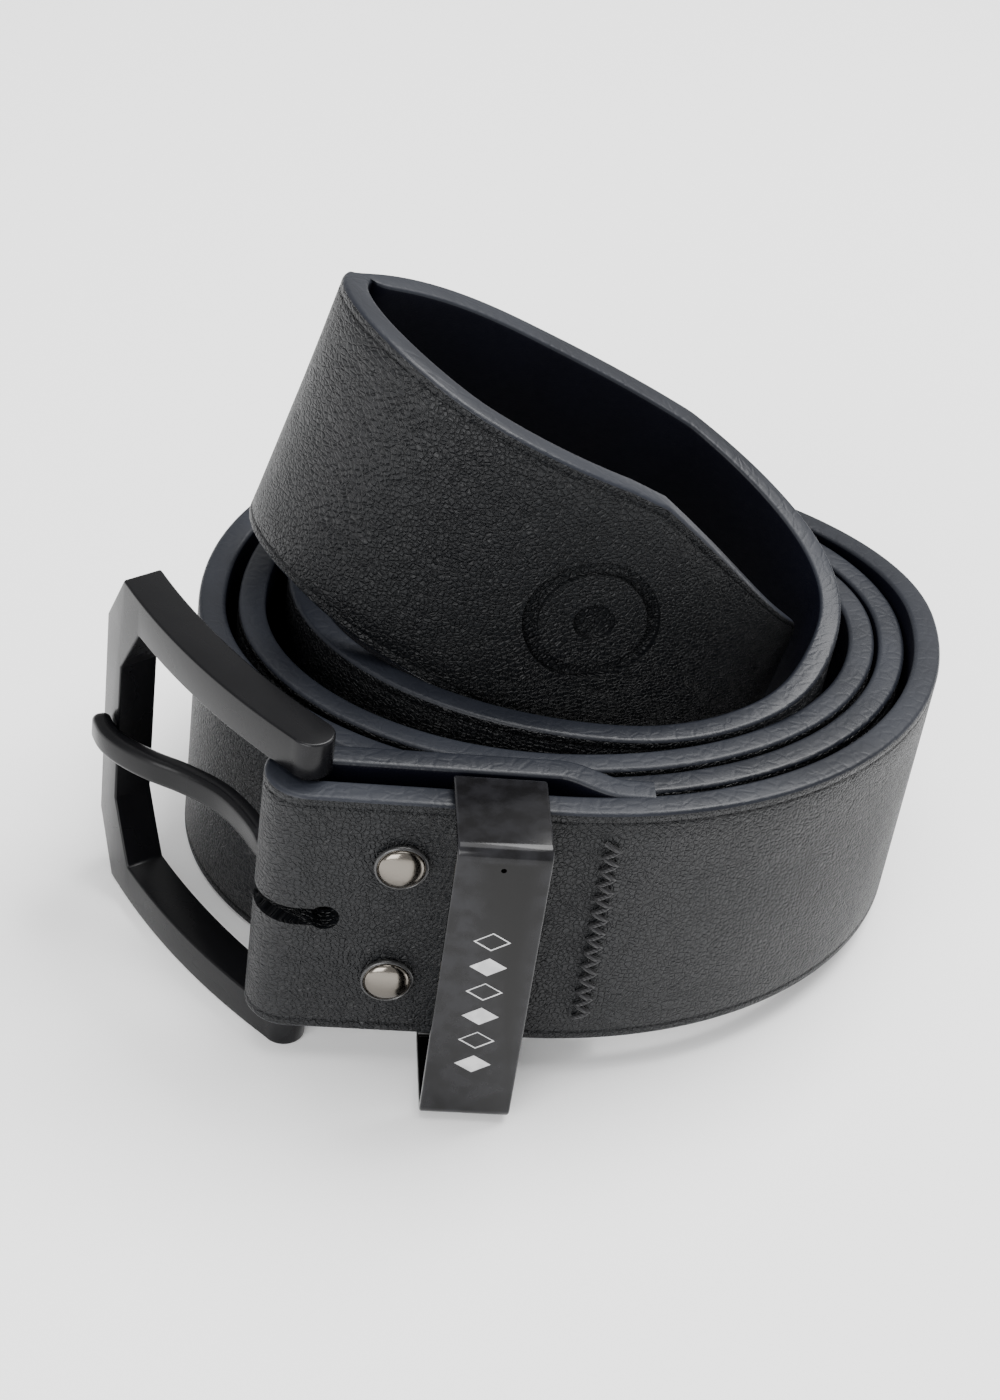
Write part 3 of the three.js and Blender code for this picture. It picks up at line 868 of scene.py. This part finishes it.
# %% Node helpers
def node(tree, kind, **inputs):
    made = tree.nodes.new(kind)
    for name, value in inputs.items():
        spaced = name.replace("_", " ")
        socket = made.inputs[spaced if spaced in made.inputs else name]
        if isinstance(value, bpy.types.NodeSocket):
            tree.links.new(value, socket)
        else:
            socket.default_value = value
    return made


def maths(tree, operation, a, b=0.0, clamp=False):
    made = tree.nodes.new("ShaderNodeMath")
    made.operation = operation
    made.use_clamp = clamp
    for socket, value in zip(made.inputs, (a, b)):
        if isinstance(value, bpy.types.NodeSocket):
            tree.links.new(value, socket)
        else:
            socket.default_value = value
    return made.outputs[0]


def ranged(tree, value, low, high, to_low, to_high):
    made = tree.nodes.new("ShaderNodeMapRange")
    made.interpolation_type = "SMOOTHSTEP"
    tree.links.new(value, made.inputs["Value"])
    for name, number in (("From Min", low), ("From Max", high), ("To Min", to_low), ("To Max", to_high)):
        made.inputs[name].default_value = number
    return made.outputs["Result"]


def blend_colours(tree, factor, first, second):
    made = tree.nodes.new("ShaderNodeMix")
    made.data_type = "RGBA"
    tree.links.new(factor, made.inputs["Factor"])
    for socket, colour in ((made.inputs[6], first), (made.inputs[7], second)):
        if isinstance(colour, bpy.types.NodeSocket):
            tree.links.new(colour, socket)
        else:
            socket.default_value = (*colour, 1)
    return made.outputs[2]


def effect(name, inputs, outputs):
    """A node group with named float, colour or vector sockets."""
    group = bpy.data.node_groups.new(name, "ShaderNodeTree")
    for title, kind, value in inputs:
        socket = group.interface.new_socket(title, in_out="INPUT", socket_type=kind)
        if value is not None:
            socket.default_value = value
    for title, kind in outputs:
        group.interface.new_socket(title, in_out="OUTPUT", socket_type=kind)
    return group, group.nodes.new("NodeGroupInput").outputs, group.nodes.new("NodeGroupOutput").inputs


def use(tree, group, **inputs):
    made = tree.nodes.new("ShaderNodeGroup")
    made.node_tree = group
    for name, value in inputs.items():
        socket = made.inputs[name]
        if isinstance(value, bpy.types.NodeSocket):
            tree.links.new(value, socket)
        else:
            socket.default_value = value
    return made


def finish(name, **settings):
    """A material with its Principled shader's plain values set."""
    material = bpy.data.materials.new(name)
    material.use_nodes = True
    shader = material.node_tree.nodes["Principled BSDF"]
    for setting, value in settings.items():
        shader.inputs[setting.replace("_", " ")].default_value = value
    return material, material.node_tree, shader


def bump(tree, shader, height, distance, strength=1.0):
    made = node(tree, "ShaderNodeBump", Strength=strength, Distance=distance, Height=height)
    tree.links.new(made.outputs["Normal"], shader.inputs["Normal"])


# %% Leather grain group
FLOAT, VECTOR = "NodeSocketFloat", "NodeSocketVector"
grain, given, give = effect(
    "leather_grain",
    [("Vector", VECTOR, None), ("Pebbles per metre", FLOAT, 900.0), ("Creases", FLOAT, 0.5)],
    [("Height", FLOAT), ("Valleys", FLOAT), ("Cloud", FLOAT)],
)
warp = node(grain, "ShaderNodeTexNoise", Vector=given["Vector"], Scale=260.0, Detail=3.0)
shift = node(grain, "ShaderNodeVectorMath")
shift.operation = "MULTIPLY_ADD"
grain.links.new(warp.outputs["Color"], shift.inputs[0])
shift.inputs[1].default_value = (0.0007, 0.0007, 0.0007)
grain.links.new(given["Vector"], shift.inputs[2])
pebbles = node(grain, "ShaderNodeTexVoronoi", Vector=shift.outputs[0], Scale=given["Pebbles per metre"])
pebbles.feature = "DISTANCE_TO_EDGE"
pebble_height = ranged(grain, pebbles.outputs["Distance"], 0.0, 0.22, 0.0, 1.0)
fine = node(grain, "ShaderNodeTexNoise", Vector=given["Vector"], Scale=2600.0, Detail=2.0)
creases = node(
    grain, "ShaderNodeTexNoise", Vector=given["Vector"], Scale=190.0, Detail=5.0, Distortion=0.9
)
crease_line = maths(grain, "ABSOLUTE", maths(grain, "SUBTRACT", creases.outputs[0], 0.5))
crease_height = ranged(grain, crease_line, 0.0, 0.035, 0.0, 1.0)
crease_part = maths(grain, "MULTIPLY", crease_height, given["Creases"])
height = maths(grain, "MULTIPLY_ADD", pebble_height, 0.55)
grain.links.new(crease_part, height.node.inputs[2])
total = maths(grain, "MULTIPLY_ADD", fine.outputs[0], 0.35)
grain.links.new(height, total.node.inputs[2])
grain.links.new(total, give["Height"])
grain.links.new(maths(grain, "SUBTRACT", 1.0, pebble_height), give["Valleys"])
cloud = node(grain, "ShaderNodeTexNoise", Vector=given["Vector"], Scale=38.0, Detail=4.0)
grain.links.new(cloud.outputs[0], give["Cloud"])

# %% Leather face, lining and painted edge
def flat_strap_uv(tree):
    made = tree.nodes.new("ShaderNodeUVMap")
    made.uv_map = "flat_strap"
    return made.outputs["UV"]


def leather(name, specular, pebbles, creases, dark, light, rough, relief, valley_shade=None):
    """Grain over the flat coordinates, with cloudy colour and gloss. The grain's valleys may get painted
    shade, a darker colour blended in.
    """
    material, tree, shader = finish(name, Specular_IOR_Level=specular)
    skin = use(tree, grain, Vector=flat_strap_uv(tree),
               **{"Pebbles per metre": pebbles, "Creases": creases})
    cloud = skin.outputs["Cloud"]
    tone = blend_colours(tree, ranged(tree, cloud, 0.3, 0.7, 0, 1), dark, light)
    if valley_shade:
        # Painted shade: the grain's valleys are blended towards a darker colour.
        depth = maths(tree, "MULTIPLY", skin.outputs["Valleys"], 0.7)
        tone = blend_colours(tree, depth, tone, valley_shade)
    tree.links.new(tone, shader.inputs["Base Color"])
    tree.links.new(ranged(tree, cloud, *rough), shader.inputs["Roughness"])
    bump(tree, shader, skin.outputs["Height"], *relief)
    return material


# The face's valley colour is painted shade in the grain's hollows.
face_finish = leather(
    "grained_leather", 0.3, 1500.0, 0.4, (0.0022, 0.0026, 0.0038), (0.0048, 0.0056, 0.0068),
    rough=(0.25, 0.75, 0.4, 0.54), relief=(0.0003, 1.0), valley_shade=(0.003, 0.0032, 0.004),
)
lining_finish = leather(
    "smooth_lining", 0.1, 2400.0, 0.15, (0.0012, 0.0014, 0.0042), (0.0022, 0.0026, 0.007),
    rough=(0.3, 0.7, 0.52, 0.66), relief=(0.0001, 0.3),
)
edge_finish = leather(
    "edge_paint", 0.28, 500.0, 0.2, (0.006, 0.0072, 0.011), (0.011, 0.013, 0.019),
    rough=(0.3, 0.7, 0.38, 0.52), relief=(0.00012, 0.35),
)
for material in (face_finish, lining_finish, edge_finish):
    strap.data.materials.append(material)
print("leather finishes:", [m.name for m in strap.data.materials])

# %% [markdown]
# Plated metal is even until it's handled. Its edges polish bright first, which the geometry's
# pointiness gives, and fine scratches and fingerprints break up the gloss elsewhere.

# %% Worn metal group and metals
wear, given, give = effect(
    "handled_metal",
    [("Vector", VECTOR, None), ("Edge width", FLOAT, 0.03)],
    [("Edge", FLOAT), ("Smudge", FLOAT), ("Height", FLOAT)],
)
geometry = wear.nodes.new("ShaderNodeNewGeometry")
patches = node(wear, "ShaderNodeTexNoise", Vector=given["Vector"], Scale=420.0, Detail=4.0)
pointed = maths(wear, "SUBTRACT", geometry.outputs["Pointiness"], 0.52)
edge = ranged(wear, maths(wear, "DIVIDE", pointed, given["Edge width"]), 0.0, 1.0, 0.0, 1.0)
patchy = ranged(wear, patches.outputs[0], 0.35, 0.65, 0.35, 1.0)
wear.links.new(maths(wear, "MULTIPLY", edge, patchy), give["Edge"])
smudges = node(
    wear, "ShaderNodeTexNoise", Vector=given["Vector"], Scale=90.0, Detail=6.0, Distortion=0.6
)
wear.links.new(smudges.outputs[0], give["Smudge"])
cast = node(wear, "ShaderNodeTexNoise", Vector=given["Vector"], Scale=1500.0, Detail=3.0)
wear.links.new(cast.outputs[0], give["Height"])


def plated(name, dark, bright, rough_low, rough_high, relief, **settings):
    material, tree, shader = finish(name, **settings)
    place = tree.nodes.new("ShaderNodeTexCoord").outputs["Object"]
    handled = use(tree, wear, Vector=place)
    tone = blend_colours(tree, handled.outputs["Edge"], dark, bright)
    tree.links.new(tone, shader.inputs["Base Color"])
    rough = ranged(tree, handled.outputs["Smudge"], 0.3, 0.7, rough_low, rough_high)
    tree.links.new(rough, shader.inputs["Roughness"])
    bump(tree, shader, handled.outputs["Height"], relief, 0.4)
    return material


buckle_finish = plated(
    "black_plated_casting", (0.003, 0.003, 0.0036), (0.016, 0.016, 0.018), 0.22, 0.3, 0.00002,
    Specular_IOR_Level=0.2,
)
keeper_finish = plated(
    "black_gloss_plate", (0.002, 0.0018, 0.0018), (0.014, 0.014, 0.016), 0.16, 0.17, 0.000001,
    Specular_IOR_Level=0.22,
)
bar_finish = plated(
    "bare_steel_bar", (0.05, 0.05, 0.052), (0.2, 0.2, 0.2), 0.25, 0.4, 0.00003, Metallic=0.9
)
nickel_finish = plated(
    "rivet_nickel", (0.17, 0.155, 0.135), (0.3, 0.28, 0.25), 0.16, 0.24, 0.00003, Metallic=1.0
)
ring_finish = plated(
    "rivet_black_ring", (0.008, 0.008, 0.009), (0.03, 0.03, 0.03), 0.24, 0.32, 0.00003,
    Specular_IOR_Level=0.5,
)
inlay_finish = plated(
    "keeper_inlay", (0.30, 0.30, 0.31), (0.5, 0.5, 0.5), 0.35, 0.5, 0.00003, Metallic=0.2
)

buckle.data.materials.append(buckle_finish)
prong.data.materials.append(buckle_finish)
keeper.data.materials.append(keeper_finish)
keeper_marks.data.materials.append(inlay_finish)
DOME_RADIUS = 2.95 * MM
for label, cap, back in rivets:
    side = 1 if label == "upper" else -1
    middle = Vector((rivet_x, 0, MIDDLE + side * RIVET["half_spacing"]))
    cap.data.materials.append(ring_finish)
    cap.data.materials.append(nickel_finish)
    for polygon in cap.data.polygons:
        aside = Vector((polygon.center.x - middle.x, polygon.center.z - middle.z)).length
        polygon.material_index = int(aside < DOME_RADIUS and polygon.center.y < outer_face_y - 0.5 * MM)
    back.data.materials.append(ring_finish)
heel_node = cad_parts["heel_bar"]
heel_node.data.materials.clear()
heel_node.data.materials.append(bar_finish)

# %% Thread
thread_finish, tree, shader = finish(
    "waxed_thread", Specular_IOR_Level=0.4, Sheen_Weight=0.2, Sheen_Roughness=0.4
)
place = tree.nodes.new("ShaderNodeTexCoord").outputs["Object"]
twist = node(tree, "ShaderNodeTexWave", Vector=place, Scale=900.0, Distortion=1.5, Detail=2.0)
twist.bands_direction = "DIAGONAL"
tone = blend_colours(tree, twist.outputs["Fac"], (0.003, 0.003, 0.004), (0.012, 0.012, 0.014))
tree.links.new(tone, shader.inputs["Base Color"])
tree.links.new(ranged(tree, twist.outputs["Fac"], 0.0, 1.0, 0.75, 0.5), shader.inputs["Roughness"])
bump(tree, shader, twist.outputs["Fac"], 0.00006, 0.7)
needle.data.materials.append(thread_finish)
bobbin.data.materials.append(thread_finish)
print("materials:", len(bpy.data.materials))

# %% [markdown]
# ## Hand the pieces to the frame
#
# Each piece rides on the body it belongs to, so that the buckle, prong and keeper move as the
# real ones do. Each also names the plain solid it stands for and its finish.

# %% Ride, replace and finish
handed = [
    (strap, "strap_body", ["strap"], "leather"),
    (buckle, "buckle", ["buckle_frame"], "gunmetal"),
    (prong, "prong", ["prong"], "gunmetal"),
    (keeper, "keeper", ["keeper"], "gunmetal"),
    (keeper_marks, "keeper", [], "gunmetal"),
    (needle, "strap_body", ["bartack_needle_thread"], "thread"),
    (bobbin, "strap_body", ["bartack_bobbin_thread"], "thread"),
]
for label, cap, back in rivets:
    handed.append((cap, "strap_body", [f"rivet_cap_{label}"], "black_nickel"))
    handed.append((back, "strap_body", [f"rivet_back_{label}"], "black_nickel"))
for piece, body, nodes, finish_slot in handed:
    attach(piece, body)
    if nodes:
        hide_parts(*nodes)
triangles = {piece.name: sum(len(p.vertices) - 2 for p in piece.data.polygons) for piece, *_ in handed}
print("triangles:", triangles)
